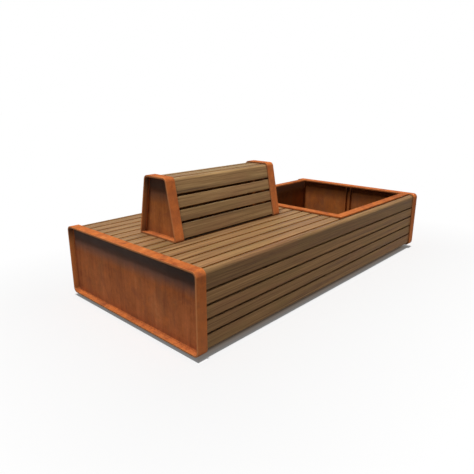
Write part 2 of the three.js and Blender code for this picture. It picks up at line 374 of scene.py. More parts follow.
# Painted light and shade: bars and end sheets are lifted towards the front, and the rim is dimmed
# towards its right end.
FRONT_SPAN = (FRAME_LOW.y + 90 * MM, FRAME_LOW.y + 450 * MM)
BAR_PAINTED_LIGHT = Slope("Y", *FRONT_SPAN, (1.08, 1.0))
SHEET_PAINTED_LIGHT = Slope("Y", *FRONT_SPAN, (1.16, 1.0))
RIM_PAINTED_SHADE = Slope("X", RIM_HIGH.x - 490 * MM, RIM_HIGH.x - 40 * MM, (1.0, 0.72))


class Rust(NamedTuple):
    """One kind of rusted steel: the strength of each mark of age, and where it shows.

    runs is the share of water's runs on upright faces, and patches that of bright and dull
    ones. level dims the whole, and slope paints light and shade along an axis. inner is the
    colour of painted light on the inside walls of a bar, and corners take painted shade in a
    share of their own. Just below hollow_top the inside walls of a bar take painted shade; just
    below the top of its sheet the rust is a grey patina that also stands in for a painted
    sheen; below soil_line it is damp.
    """
    name: str
    stops: tuple
    runs: float
    patches: float
    level: float = 1.0
    slope: Slope = None
    # The share of painted shade in corners.
    corner_shade: float = 0.6
    # The colour of painted light on the inner walls of a bar.
    inner: tuple = PAINTED_INNER_LIGHT
    hollow_top: float = None
    # The grey of the patina with a painted sheen, and the height just below which it shows.
    patina_sheen: tuple = PATINA_SHEEN
    patina_sheen_top: float = None
    soil_line: float = None


def rust_colour(shader, kind, place, blotches, runs, upright):
    """Clouds and patches of rust, drawn out on upright faces by the runs of water."""
    on_upright = shader.product(upright, kind.runs)
    broad = shader.blend(shader.noise(place, *CLOUDS), blotches, BLOTCHES_SHARE)
    drawn_out = shader.blend(runs, shader.noise(place, *THIN_RUNS), THIN_RUNS_SHARE)
    tone = shader.blend(broad, drawn_out, on_upright)
    colour = shader.ramp(shader.fit(tone, *TONE_SPAN), kind.stops)
    colour = patched(shader, colour, place, OLIVE, on_upright)
    colour = patched(shader, colour, place, SPECKS)
    colour = patched(shader, colour, place, BLOOM)
    colour = patched(shader, colour, place, BRIGHT, kind.patches)
    colour = patched(shader, colour, place, DULL, kind.patches)
    return patched(shader, colour, place, STAIN, on_upright)


def bar_wear_and_shade(shader, kind, colour, height, upright):
    """A bar's own wear, and painted light and shade.

    Outside, a bar is painted paler towards the ground as painted light, and its narrow edges
    are rubbed. Inside, its walls take a colour of painted light and darken towards the top as
    painted shade, and its level parts are dusty. Its corners take painted shade, less on the
    level inner parts.
    """
    inside = mesh_value(shader, "bar_inside")
    edge = mesh_value(shader, "bar_edge")
    outside = shader.math("SUBTRACT", mesh_value(shader, "bar_outside"), edge)
    # Painted light: paler towards the ground on the outer upright faces.
    low_light = shader.fit(height, LOW_LIGHT_FROM, LOW_LIGHT_TO, *LOW_LIGHT_SHARES)
    colour = shader.mix(shader.product(low_light, upright, outside), colour, PAINTED_LOW_LIGHT)
    inner_wall = shader.product(inside, upright)
    inner_level = shader.math("SUBTRACT", inside, inner_wall)
    # Painted light on the inner walls.
    colour = shader.mix(shader.product(inner_wall, PAINTED_INNER_LIGHT_SHARE), colour, kind.inner)
    # Painted shade on the inner walls under the top bar.
    if kind.hollow_top is not None:
        low = kind.hollow_top - HOLLOW_SHADE_DEPTH
        hollow = shader.fit(height, low, kind.hollow_top - HOLLOW_SHADE_FULL, 0.0, HOLLOW_SHADE_SHARE)
        colour = shader.mix(shader.product(inner_wall, hollow), colour, PAINTED_HOLLOW_SHADE)
    colour = shader.mix(shader.product(inner_level, DUSTY_SHARE), colour, DUSTY)
    colour = shader.mix(shader.product(edge, RUBBED_SHARE), colour, RUBBED)
    # Painted shade in corners, by how open each point is, and less on level inner parts.
    corner_shade = shader.fit(open_share(shader, CORNER_SHADE_REACH), *CORNER_SHADE_SPAN, kind.corner_shade, 0.0)
    spared = shader.math("MULTIPLY_ADD", inner_level, -CORNER_SHADE_SPARED, 1.0)
    return shader.mix(shader.product(corner_shade, spared), colour, PAINTED_SHADE)


def planter_shade_and_soil(shader, colour, place, height, soil_line):
    """Painted shade and marks of use inside the planter.

    It is dimmed along the top as painted shade, and the long walls take more painted shade under
    the rim. At the bottom is the dark, silted skin that steel keeps under damp earth.
    """
    # Painted shade along the top of the walls.
    top_shade = shader.fit(height, TOP_SHADE_LOW, TOP_SHADE_HIGH, 1.0, TOP_SHADE_LEVEL)
    colour = shader.dimmed(colour, top_shade)
    # More painted shade under the rim on the long walls.
    on_long_wall = shader.math("ABSOLUTE", part_of(shader, face_direction(shader), "Y"))
    under_rim = shader.fit(height, TOP_SHADE_HIGH, RIM_SHADE_HIGH, 0.0, RIM_SHADE_SHARE)
    colour = shader.mix(shader.product(on_long_wall, under_rim), colour, PAINTED_SHADE)
    damp = shader.fit(height, soil_line - SOIL_FADE, soil_line, 1.0, 0.0)
    return shader.mix(damp, colour, patched(shader, DAMP, place, SILT))


def sloped(shader, colour, place, slope):
    """The colour dimmed or lifted along the slope, as painted light and shade."""
    along = part_of(shader, place, slope.axis)
    return shader.dimmed(colour, shader.fit(along, slope.start, slope.end, *slope.levels))


def rust_material(kind):
    """Weathering steel of one kind, from its rust to the wear, painted light and shade of its place
    on the bench.

    Just below the top of its sheet, where no rain comes, the rust stays grey; this grey also
    stands in for a painted sheen in the shade there.
    """
    material = bpy.data.materials.new(kind.name)
    shader = Shader(material)
    place = object_place(shader)
    height = height_of(shader, place)
    upright = upright_share(shader)
    blotches = shader.noise(place, *BLOTCHES)
    runs = shader.noise(place, *RUNS)
    colour = rust_colour(shader, kind, place, blotches, runs, upright)
    colour = bar_wear_and_shade(shader, kind, colour, height, upright)
    colour = shader.dimmed(colour, kind.level)
    # Painted light and shade along an axis.
    if kind.slope is not None:
        colour = sloped(shader, colour, place, kind.slope)
    wandering = shader.math("MULTIPLY_ADD", runs, LINE_WANDER, height)
    # Grey patina with a painted sheen just below the top of the sheet.
    if kind.patina_sheen_top is not None:
        patina_sheen = shader.fit(wandering, kind.patina_sheen_top - PATINA_SHEEN_DEPTH, kind.patina_sheen_top - PATINA_SHEEN_FULL)
        colour = shader.mix(patina_sheen, colour, kind.patina_sheen)
    if kind.soil_line is not None:
        colour = planter_shade_and_soil(shader, colour, place, wandering, kind.soil_line)

    relief = shader.math("MULTIPLY_ADD", shader.noise(place, *GRIT), GRIT_RELIEF, blotches)
    normal = shader.bump(relief, RUST_RELIEF, RUST_BUMP)
    roughness = shader.fit(blotches, *NOISE_SPAN, *RUST_ROUGHNESS)
    shader.surface(colour, roughness, normal, RUST_SPECULAR)
    return material


# Timber

SEAT_TOP = top_of("corner_board_front")
BOARD_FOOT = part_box("bottom_board_front")[0].z

TIMBER_STOPS = (
    (0.0, srgb(104, 75, 47)),
    (0.35, srgb(143, 105, 67)),
    (0.7, srgb(168, 127, 82)),
    (1.0, srgb(192, 150, 102)),
)
FIGURE = ((0.9, 42, 42), 6, 0.55, 0.8)
BANDS = ((2.6, 150, 150), 4, 0.6, 0.4)
BANDS_SHARE = 0.52
FIBRES = ((14, 900, 900), 2, 0.6)
FIBRES_RELIEF = 0.6
TIMBER_RELIEF = 0.25 * MM
TIMBER_BUMP = 0.7
TIMBER_ROUGHNESS = (0.58, 0.74)
TIMBER_SPECULAR = 0.22

# The colour of the pores, also used for the painted shade on the seat.
PORE_AND_SHADE = srgb(86, 58, 36)
TIMBER_OLIVE = Patch(srgb(143, 113, 68), ((3.2, 6, 6), 3), 0.46, 0.68, 0.55)
TIMBER_RUDDY = Patch(srgb(155, 105, 72), ((2.1, 11, 5), 3), 0.52, 0.7, 0.35)
PORES = Patch(PORE_AND_SHADE, FIBRES, 0.56, 0.7, 0.4)

TONES = (-1.5, 2.5)
TONE_LEVELS = (0.66, 1.3)
RAISED_LOW = SEAT_TOP + 5.3 * MM
RAISED_FADE = 10 * MM
RAISED_GAINS = (0.0, 0.1, 0.15)
# Painted shade on the seat beside the backrest, by how open each point is, in the same dark colour
# as the pores.
SHADE_REACH = 160 * MM
SHADE_SPAN = (0.5, 0.97)
SHADE_SHARE = 0.45
# Painted light on the upright sides of gaps between boards, and painted shade on their level sides;
# the dark colour is also the painted shade along the bottom edge.
PAINTED_GAP_LIGHT = srgb(206, 124, 44)
GAP_SHARE = 0.92
TIMBER_PAINTED_SHADE = srgb(36, 16, 2)
# Painted shade along the boards' bottom edge.
BOTTOM_SHADE_LOW = BOARD_FOOT + 6.7 * MM
BOTTOM_SHADE_HIGH = BOARD_FOOT + 20.7 * MM
BOTTOM_SHADE_SHARE = 0.8


def board_marks_and_shade(shader, colour, height):
    """What a board's place on the bench does to it, with painted light and shade.

    It is paler above the seat, and takes painted shade on the seat beside the backrest. Where it
    looks into a gap, its upright sides take painted light and its level ones painted shade, and
    along the bottom edge it takes painted shade.
    """
    raised = shader.fit(height, RAISED_LOW, RAISED_LOW + RAISED_FADE)
    levels = [shader.math("MULTIPLY_ADD", raised, gain, 1.0) for gain in RAISED_GAINS]
    colour = shader.scaled(colour, *levels)
    upright = upright_share(shader)
    on_seat = shader.fit(height, RAISED_LOW - 2 * RAISED_FADE, RAISED_LOW - RAISED_FADE)
    # Painted shade on the seat beside the backrest.
    shade = shader.fit(open_share(shader, SHADE_REACH), *SHADE_SPAN, SHADE_SHARE, 0.0)
    shade = shader.product(shade, shader.math("SUBTRACT", 1.0, upright), on_seat)
    colour = shader.mix(shade, colour, PORE_AND_SHADE)
    # Painted light and shade inside the gaps.
    in_gap = shader.product(mesh_value(shader, "board_gap"), GAP_SHARE)
    colour = shader.mix(in_gap, colour, shader.mix(upright, TIMBER_PAINTED_SHADE, PAINTED_GAP_LIGHT))
    # Painted shade along the bottom edge.
    return shader.mix(shader.fit(height, BOTTOM_SHADE_LOW, BOTTOM_SHADE_HIGH, BOTTOM_SHADE_SHARE, 0.0), colour, TIMBER_PAINTED_SHADE)


def timber_material():
    """Oiled boards: grain along the board, with a tone of its own for each one."""
    material = bpy.data.materials.new("oiled_timber")
    shader = Shader(material)
    place = shader.add("Attribute", attribute_name="board_place").outputs["Vector"]
    bands = shader.noise(place, *BANDS)
    grain = shader.blend(shader.noise(place, *FIGURE), bands, BANDS_SHARE)
    colour = shader.ramp(shader.fit(grain, *TONE_SPAN), TIMBER_STOPS)
    for patch in (TIMBER_OLIVE, TIMBER_RUDDY, PORES):
        colour = patched(shader, colour, place, patch)
    tone = mesh_value(shader, "board_tone")
    colour = shader.dimmed(colour, shader.fit(tone, *TONES, *TONE_LEVELS))
    colour = board_marks_and_shade(shader, colour, height_of(shader, object_place(shader)))

    relief = shader.math("MULTIPLY_ADD", shader.noise(place, *FIBRES), FIBRES_RELIEF, bands)
    normal = shader.bump(relief, TIMBER_RELIEF, TIMBER_BUMP)
    roughness = shader.fit(grain, *NOISE_SPAN, *TIMBER_ROUGHNESS)
    shader.surface(colour, roughness, normal, TIMBER_SPECULAR)
    return material


# Zinc and rubber

ZINC_STOPS = ((0.2, srgb(92, 95, 97)), (0.7, srgb(128, 131, 133)))
ZINC_CELLS = 110
ZINC_CELLS_SHARE = 0.35
ZINC_CLOUDS = (9, 5)
ZINC_SPAN = (0.2, 0.8)
ZINC_ROUGHNESS = (0.55, 0.72)
ZINC_RELIEF = 0.2 * MM
ZINC_METALLIC = 0.35
ZINC_SPECULAR = 0.25
RUBBER_STOPS = ((0.35, srgb(28, 28, 29)), (0.8, srgb(58, 56, 54)))
RUBBER_TOOTH = (900, 2)
RUBBER_DUST = (60, 4)
RUBBER_ROUGHNESS = 0.82
RUBBER_RELIEF = 0.15 * MM
RUBBER_SPECULAR = 0.3
FINE_BUMP = 0.5


def zinc_material():
    """Hot-dip zinc: a faint spangle on a dull grey skin."""
    material = bpy.data.materials.new("galvanised_steel")
    shader = Shader(material)
    place = object_place(shader)
    cells = shader.add("TexVoronoi", {"Vector": place, "Scale": ZINC_CELLS}, feature="F1")
    spangle = shader.add("SeparateColor", {0: cells.outputs["Color"]}).outputs[0]
    clouds = shader.noise(place, *ZINC_CLOUDS)
    value = shader.blend(clouds, spangle, ZINC_CELLS_SHARE)
    colour = shader.ramp(value, ZINC_STOPS)
    roughness = shader.fit(value, *ZINC_SPAN, *ZINC_ROUGHNESS)
    normal = shader.bump(clouds, ZINC_RELIEF, FINE_BUMP)
    shader.surface(colour, roughness, normal, ZINC_SPECULAR, ZINC_METALLIC)
    return material


def rubber_material():
    """Moulded black rubber with a fine tooth and a little dust."""
    material = bpy.data.materials.new("foot_rubber")
    shader = Shader(material)
    place = object_place(shader)
    colour = shader.ramp(shader.noise(place, *RUBBER_DUST), RUBBER_STOPS)
    normal = shader.bump(shader.noise(place, *RUBBER_TOOTH), RUBBER_RELIEF, FINE_BUMP)
    shader.surface(colour, RUBBER_ROUGHNESS, normal, RUBBER_SPECULAR)
    return material


MATERIALS = {
    "bar": rust_material(Rust(
        "weathered_steel", BAR_STOPS, runs=0.35, patches=0.42, level=0.95, slope=BAR_PAINTED_LIGHT,
        hollow_top=top_of("end_frame_left"),
    )),
    "backrest_bar": rust_material(Rust(
        "weathered_backrest_steel", BAR_STOPS, runs=0.35, patches=0.3, level=0.97,
        inner=PAINTED_INNER_LIGHT_DULL, hollow_top=top_of("backrest_frame_left"),
    )),
    "rim": rust_material(Rust(
        "weathered_rim", BAR_STOPS, runs=0.35, patches=0.35, level=0.88, slope=RIM_PAINTED_SHADE, corner_shade=0.0,
    )),
    "end_sheet": rust_material(Rust(
        "weathered_end_sheet", SHEET_STOPS, runs=0.5, patches=0.16, slope=SHEET_PAINTED_LIGHT,
        patina_sheen_top=top_of("end_panel_left"),
    )),
    "backrest_sheet": rust_material(Rust(
        "weathered_backrest_sheet", BACKREST_STOPS, runs=0.5, patches=0.12, level=0.9, corner_shade=0.4,
        patina_sheen=PATINA_SHEEN_DARK, patina_sheen_top=top_of("backrest_panel_left"),
    )),
    "planter_sheet": rust_material(Rust(
        "weathered_planter_sheet", PLANTER_STOPS, runs=0.5, patches=0.16, corner_shade=0.15,
        soil_line=SOIL_LINE,
    )),
    "timber": timber_material(),
    "zinc": zinc_material(),
    "rubber": rubber_material(),
}


# Pieces

JOINED = 0.01 * MM
SHARP = math.radians(32)
FLAT = math.radians(1)
MITRE_LIMIT = 0.5
SEED_RANGE = 100


def quarter(steps):
    """The angles of a quarter turn, from 0 to its end."""
    return [math.pi / 2 * i / steps for i in range(steps + 1)]


def is_sharp(edge):
    return edge.is_manifold and edge.calc_face_angle(0) > SHARP


def node_solid(node):
    """The node's solid as a bmesh, its shared corners joined."""
    solid = bmesh.new()
    solid.from_mesh(frame["nodes"][node].data)
    bmesh.ops.remove_doubles(solid, verts=solid.verts, dist=JOINED)
    return solid


def finish_piece(name, mesh, material, nodes=()):
    """Makes the mesh a piece on the bench, with its material, standing for its nodes."""
    piece = bpy.data.objects.new(name, mesh)
    bpy.context.scene.collection.objects.link(piece)
    mesh.materials.clear()
    mesh.materials.append(MATERIALS[material])
    for face in mesh.polygons:
        face.use_smooth = True
    weighted = piece.modifiers.new("even_normals", "WEIGHTED_NORMAL")
    weighted.keep_sharp = True
    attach(piece, BODY)
    if nodes:
        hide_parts(*nodes)
    return piece


def mesh_of(solid, name):
    """Turns a bmesh into a mesh, its faces out and its sharp edges marked."""
    bmesh.ops.recalc_face_normals(solid, faces=solid.faces)
    for edge in solid.edges:
        edge.smooth = not is_sharp(edge)
    mesh = bpy.data.meshes.new(name)
    solid.to_mesh(mesh)
    solid.free()
    return mesh


def end_outline(node):
    """The outer outline of a straight piece at its lower X end: points (Y, Z) in order."""
    solid = node_solid(node)
    low = min(vertex.co.x for vertex in solid.verts) + JOINED

    def at_end(item):
        return all(vertex.co.x < low for vertex in item.verts)

    rim = [e for e in solid.edges if at_end(e) and sum(at_end(f) for f in e.link_faces) == 1]
    loops = []
    while rim:
        edge = rim.pop()
        loop = list(edge.verts)
        while loop[-1] != loop[0]:
            edge = next(e for e in rim if loop[-1] in e.verts)
            rim.remove(edge)
            loop.append(edge.other_vert(loop[-1]))
        loops.append([Vector((v.co.y, v.co.z)) for v in loop[:-1]])
    solid.free()
    outline = max(loops, key=lambda loop: abs(signed_area(loop)))
    return outline if signed_area(outline) > 0 else outline[::-1]


def following(items):
    """The item after each one, round a closed loop."""
    return items[1:] + items[:1]


def signed_area(loop):
    return sum(a.cross(b) for a, b in zip(loop, following(loop))) / 2


def inward(loop):
    """The direction at each point of an anticlockwise outline that leads into it."""
    directions = []
    for before, at, after in zip(loop[-1:] + loop[:-1], loop, following(loop)):
        first = (at - before).normalized()
        second = (after - at).normalized()
        between = (first + second).normalized()
        lead = Vector((-between.y, between.x))
        mitre = lead.dot(Vector((-first.y, first.x)))
        directions.append(lead / max(mitre, MITRE_LIMIT))
    return directions


def skin(solid, rings, closed):
    """Joins equal rings of vertices with quads.

    A closed run joins its last ring to its first, and an open one has a face over each end.
    """
    for ring, after in zip(rings, following(rings) if closed else rings[1:]):
        for corners in zip(ring, following(ring), following(after), after):
            solid.faces.new(corners)
    if not closed:
        solid.faces.new(rings[0][::-1])
        solid.faces.new(rings[-1])


# Boards

END_ROUND = 1.5 * MM
END_STEPS = 3
STATION_SPACING = 0.09
BOW = 0.25 * MM
BOW_LENGTH = 0.45
BOW_APART = 9
TIMBER_RANGE = 40
LOOKS_ALONG = (0.1, 0.5, 0.9)
GAP_REACH = 18 * MM
GAP_SIDE_LENGTH = 10 * MM
GAP_FADE = 4 * MM

BOARD_NODES = [s["node"] for s in frame["record"]["subparts"] if s["material_slot"] == "timber"]
BOARD_BOXES = {node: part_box(node) for node in BOARD_NODES}
DARK_TONES = {"corner_board": -1.15, "backrest_bottom_board": -0.35, "backrest_cap": -0.5}
# What wear and a painted highlight add to the tone, and how far up the edge faces where it ends
WORN_HIGHLIT_EDGES = {"corner_board": (0.85, math.radians(125)), "backrest_cap": (2.5, math.radians(85))}
HIGHLIT_FROM = math.radians(3)
HIGHLIT_FADE = math.radians(10)
HIGHLIT_TOP_FADE = math.radians(35)


def gap_shares(node, outline):
    """How much each point of the outline looks across a gap to another board, from 0 to 1."""
    others = [box for other, box in BOARD_BOXES.items() if other != node]
    found = set()
    for i, start in enumerate(outline):
        j = (i + 1) % len(outline)
        end = outline[j]
        along = end - start
        outward = Vector((along.y, -along.x)).normalized() * GAP_REACH
        if along.length < GAP_SIDE_LENGTH or outward.y > GAP_REACH / 2:
            continue
        looks = [start.lerp(end, share) + outward for share in LOOKS_ALONG]
        if any(within(look, box) for look in looks for box in others):
            found |= {i, j}
    shares = []
    for point in outline:
        way = min([(point - outline[i]).length for i in found], default=GAP_FADE)
        shares.append(max(0, 1 - way / GAP_FADE))
    return shares


def within(point, box):
    low, high = box
    return low.y < point.x < high.y and low.z < point.y < high.z


def by_kind(node, values, usual):
    """The value of the kind that the node's name begins with, or else the usual one."""
    return next((value for kind, value in values.items() if node.startswith(kind)), usual)


def tone_of(node):
    """A board's tone from 0, dark, to 1, light, or less for the kinds that are darker still."""
    return by_kind(node, DARK_TONES, chance.random())


def worn_highlit_tones(node, leads):
    """What each point of the outline adds to the tone: the rounded upper edges are paler with wear,
    which also paints a highlight on them.
    """
    most, up_to = by_kind(node, WORN_HIGHLIT_EDGES, (0.0, 0.0))
    worn_highlit = []
    for lead in leads:
        rise = math.atan2(-lead.y, abs(lead.x))
        from_side = (rise - HIGHLIT_FROM) / HIGHLIT_FADE
        from_top = (up_to - rise) / HIGHLIT_TOP_FADE
        worn_highlit.append(most * max(0.0, min(1.0, from_side, from_top)))
    return worn_highlit


def longest_side(outline):
    """The direction of the outline's longest side."""
    sides = [end - start for start, end in zip(outline, following(outline))]
    return max(sides, key=lambda side: side.length).normalized()


def board_stations(low, high):
    """Where a board's rings stand along X, and how far each is drawn in to ease the ends."""
    first = []
    for angle in reversed(quarter(END_STEPS)):
        drawn_in = END_ROUND * (1 - math.cos(angle))
        first.append((low + END_ROUND * (1 - math.sin(angle)), drawn_in))
    inner = high - low - 2 * END_ROUND
    count = max(2, round(inner / STATION_SPACING))
    middle = [(low + END_ROUND + inner * i / count, 0) for i in range(1, count)]
    last = [(low + high - x, drawn_in) for x, drawn_in in reversed(first)]
    return first + middle + last


def board(node):
    """One board, swept along X through the outline of its node, its ends eased.

    Each board bows by a hair of its own, and carries three attributes for its material: its
    own place in the timber that it was cut from, its tone, which is lighter on edges pale with
    wear and a painted highlight, and where it looks into a gap.
    """
    low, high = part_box(node)
    outline = end_outline(node)
    leads = inward(outline)
    in_gap = gap_shares(node, outline)
    worn_highlit = worn_highlit_tones(node, leads)
    seed = chance.uniform(0, SEED_RANGE)
    tone = tone_of(node)
    shift = Vector([chance.uniform(0, TIMBER_RANGE) for _ in range(3)])
    across = longest_side(outline)

    solid = bmesh.new()
    places = solid.verts.layers.float_vector.new("board_place")
    tones = solid.verts.layers.float.new("board_tone")
    gaps = solid.verts.layers.float.new("board_gap")
    rings = []
    for x, drawn_in in board_stations(low.x, high.x):
        bow_y = BOW * noise.noise(Vector((x / BOW_LENGTH, seed, 0)))
        bow_z = BOW * noise.noise(Vector((x / BOW_LENGTH, seed, BOW_APART)))
        ring = []
        for i, (point, lead) in enumerate(zip(outline, leads)):
            moved = point + lead * drawn_in
            vertex = solid.verts.new((x, moved.x + bow_y, moved.y + bow_z))
            vertex[gaps] = in_gap[i]
            vertex[places] = Vector((x, moved.dot(across), moved.cross(across))) + shift
            # Wear and a painted highlight on rounded upper edges.
            vertex[tones] = tone + worn_highlit[i]
            ring.append(vertex)
        rings.append(ring)
    skin(solid, rings, closed=False)
    return finish_piece(node + "_board", mesh_of(solid, node), "timber", [node])


# Steel

EDGE_ROUND = 1.1 * MM
EDGE_STEPS = 3
EASED_STEPS = 2
ROUND_PROFILE = 0.5
SHEET_ROUND = 0.8 * MM
SHEET_GAP = 0.3 * MM
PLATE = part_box("end_panel_left")[0].z - FRAME_LOW.z - SHEET_GAP

WELD_LEG = 4.5 * MM
WELD_SINK = 0.2 * MM
WELD_DIP = 0.16
WELD_WANDER = 0.2
WELD_WANDER_LENGTH = 0.45
RIPPLE = 6 * MM
RIPPLE_STEPS = 3
RIPPLE_STEP = RIPPLE / RIPPLE_STEPS
BEAD_STEPS = 4

TURN_STEPS = 36
PAD_HEIGHT = 8 * MM
PAD_ROUND = 1 * MM
PAD_GROOVE = 2.5 * MM
PAD_GAP = 0.1 * MM
STEM_RADIUS = 8 * MM
THREAD_PITCH = 1.6 * MM
THREAD_DEPTH = 0.9 * MM
NUT_HALF = 12 * MM
NUT_HEIGHT = 8 * MM
NUT_CHAMFER = 1.2 * MM
NUT_CHAMFER_SHARE = 0.96


def bar_section(width, thickness):
    """The flat bar's section with eased edges: points (across, down) in order."""
    corners = (
        (0, 0, math.pi),
        (width, 0, 1.5 * math.pi),
        (width, thickness, 0),
        (0, thickness, 0.5 * math.pi),
    )
    points = []
    for across, down, start in corners:
        centre_across = min(max(across, EDGE_ROUND), width - EDGE_ROUND)
        centre_down = min(max(down, EDGE_ROUND), thickness - EDGE_ROUND)
        for turn in quarter(EDGE_STEPS):
            reach_across = EDGE_ROUND * math.cos(start + turn)
            reach_down = EDGE_ROUND * math.sin(start + turn)
            points.append((centre_across + reach_across, centre_down + reach_down))
    return points


def bent_bar(node, material="bar"):
    """A flat bar bent round the node's outline and closed on itself, its edges eased.

    It carries three attributes for its material: its narrow edges, its inside and its outside.
    """
    low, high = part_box(node)
    width = high.x - low.x
    outline = end_outline(node)
    leads = inward(outline)
    section = bar_section(width, PLATE)
    solid = bmesh.new()
    edges = solid.verts.layers.float.new("bar_edge")
    insides = solid.verts.layers.float.new("bar_inside")
    outsides = solid.verts.layers.float.new("bar_outside")
    rings = []
    for point, lead in zip(outline, leads):
        ring = []
        for across, down in section:
            moved = point + lead * down
            vertex = solid.verts.new((low.x + across, moved.x, moved.y))
            vertex[edges] = float(min(across, width - across) < EDGE_ROUND / 2)
            vertex[insides] = float(down > PLATE / 2)
            vertex[outsides] = float(down < PLATE / 2)
            ring.append(vertex)
        rings.append(ring)
    skin(solid, rings, closed=True)
    return finish_piece(node + "_bar", mesh_of(solid, node), material, [node])


def eased_solid(node, material, edge_round=EDGE_ROUND):
    """The node's own solid with its flat faces made whole and its sharp edges eased."""
    solid = node_solid(node)
    bmesh.ops.dissolve_limit(solid, angle_limit=FLAT, verts=solid.verts, edges=solid.edges)
    sharp = [edge for edge in solid.edges if is_sharp(edge)]
    bmesh.ops.bevel(
        solid, geom=sharp, offset=edge_round, segments=EASED_STEPS, profile=ROUND_PROFILE,
        affect="EDGES", clamp_overlap=True,
    )
    return finish_piece(node + "_steel", mesh_of(solid, node), material, [node])


def bead(name, path, closed):
    """A weld bead in an inside corner: a quarter-round run of ripples.

    Each step of its path has the corner's point and the directions along its two walls.
    """
    solid = bmesh.new()
    seed = chance.uniform(0, SEED_RANGE)
    rings = []
    for i, (point, first, second) in enumerate(path):
        wander = noise.noise(Vector((i * RIPPLE_STEP / WELD_WANDER_LENGTH, seed, 0)))
        dip = WELD_DIP * (i % RIPPLE_STEPS) / RIPPLE_STEPS
        leg = WELD_LEG * (1 - dip) * (1 + WELD_WANDER * wander)
        ring = [solid.verts.new(point - (first + second) * WELD_SINK)]
        for angle in quarter(BEAD_STEPS):
            reach = first * math.cos(angle) + second * math.sin(angle)
            ring.append(solid.verts.new(point + reach * leg))
        rings.append(ring)
    skin(solid, rings, closed)
    finish_piece(name, mesh_of(solid, name), "bar")


def sheet_bead(node, face_x, outward):
    """The bead round a sheet, in the corner between its open face and the bar."""
    outline = end_outline(node)
    leads = inward(outline)
    path = []
    for start, end, lead, next_lead in zip(outline, following(outline), leads, following(leads)):
        count = max(1, round((end - start).length / RIPPLE_STEP))
        for i in range(count):
            way = lead.lerp(next_lead, i / count)
            place = start.lerp(end, i / count) - way * SHEET_GAP
            corner = Vector((face_x, place.x, place.y))
            path.append((corner, Vector((0, way.x, way.y)), Vector((outward, 0, 0))))
    bead(node + "_weld", path, closed=True)


def planter_beads():
    """The upright beads in the planter's four inside corners."""
    outer, front = (corner.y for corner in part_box("planter_wall_front"))
    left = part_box("planter_wall_left")[1].x
    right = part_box("planter_wall_right")[1].x - (front - outer)
    low, high = (corner.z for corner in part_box("planter_wall_left"))
    count = round((high - low) / RIPPLE_STEP)
    for end, x, into_x in (("left", left, 1), ("right", right, -1)):
        for row, y, into_y in (("front", front, 1), ("rear", -front, -1)):
            path = []
            for i in range(count + 1):
                place = Vector((x, y, low + (high - low) * i / count))
                path.append((place, Vector((into_x, 0, 0)), Vector((0, into_y, 0))))
            bead("planter_weld_%s_%s" % (row, end), path, closed=False)


def ring_solid(solid, centre, levels):
    """Adds a closed upright body of level rings: each has a height and a radius by angle."""
    rings = []
    for height, radius in levels:
        ring = []
        for i in range(TURN_STEPS):
            angle = 2 * math.pi * i / TURN_STEPS
            reach = radius(angle) if callable(radius) else radius
            x = centre.x + reach * math.cos(angle)
            y = centre.y + reach * math.sin(angle)
            ring.append(solid.verts.new((x, y, height)))
        rings.append(ring)
    skin(solid, rings, closed=False)


def hexagon(angle):
    """The radius of a hexagonal nut at an angle."""
    sixth = math.pi / 3
    return NUT_HALF / math.cos(angle % sixth - sixth / 2)


def foot_pad(node, centre, low, radius):
    """A foot's grooved rubber pad, which stands on the ground."""
    pad = bmesh.new()
    ring_solid(pad, centre, (
        (low, radius - PAD_ROUND),
        (low + PAD_ROUND, radius),
        (low + PAD_GROOVE, radius),
        (low + PAD_GROOVE + PAD_ROUND / 2, radius - PAD_ROUND),
        (low + PAD_GROOVE + PAD_ROUND, radius),
        (low + PAD_HEIGHT - 2 * PAD_ROUND, radius),
        (low + PAD_HEIGHT - PAD_ROUND, radius - PAD_ROUND / 2),
        (low + PAD_HEIGHT, radius - 2 * PAD_ROUND),
    ))
    finish_piece(node + "_pad", mesh_of(pad, node + "_pad"), "rubber", [node])


def foot_stem(node, centre, low, high):
    """A foot's threaded stem, with its lock nut against the bar above."""
    stem = bmesh.new()
    turns = int((high - low - PAD_HEIGHT) / THREAD_PITCH)
    start = low + PAD_HEIGHT + PAD_GAP
    levels = []
    for i in range(2 * turns):
        levels.append((start + THREAD_PITCH / 2 * i, STEM_RADIUS - THREAD_DEPTH * (i % 2)))
    ring_solid(stem, centre, levels)
    nut_low = high - NUT_HEIGHT
    flat = NUT_HALF * NUT_CHAMFER_SHARE
    ring_solid(stem, centre, (
        (nut_low, flat),
        (nut_low + NUT_CHAMFER, hexagon),
        (high - NUT_CHAMFER, hexagon),
        (high, flat),
    ))
    finish_piece(node + "_stem", mesh_of(stem, node + "_stem"), "zinc", [node])


def foot(node):
    low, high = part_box(node)
    centre = (low + high) / 2
    foot_pad(node, centre, low.z, (high.x - low.x) / 2)
    foot_stem(node, centre, low.z, high.z)


def add_steelwork():
    for side, outward in (("left", -1), ("right", 1)):
        bent_bar("end_frame_" + side)
        bent_bar("backrest_frame_" + side, "backrest_bar")
        for part in ("end", "backrest"):
            sheet = part + "_panel_" + side
            eased_solid(sheet, part + "_sheet", SHEET_ROUND)
            low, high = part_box(sheet)
            sheet_bead(sheet, low.x if outward < 0 else high.x, outward)
        eased_solid("end_ledge_" + side, "zinc", SHEET_ROUND)
    eased_solid("planter_rim", "rim")
    for wall in ("floor", "wall_front", "wall_rear", "wall_left", "wall_right"):
        eased_solid("planter_" + wall, "planter_sheet", SHEET_ROUND)
    planter_beads()
    for node in sorted(frame["nodes"]):
        if node.startswith("support_frame"):
            bent_bar(node, "zinc")
    for row in ("front", "rear"):
        eased_solid("base_rail_" + row, "zinc", SHEET_ROUND)
        for place in ("left", "middle", "right"):
            foot("foot_%s_%s" % (row, place))


# Floor, light and backdrop

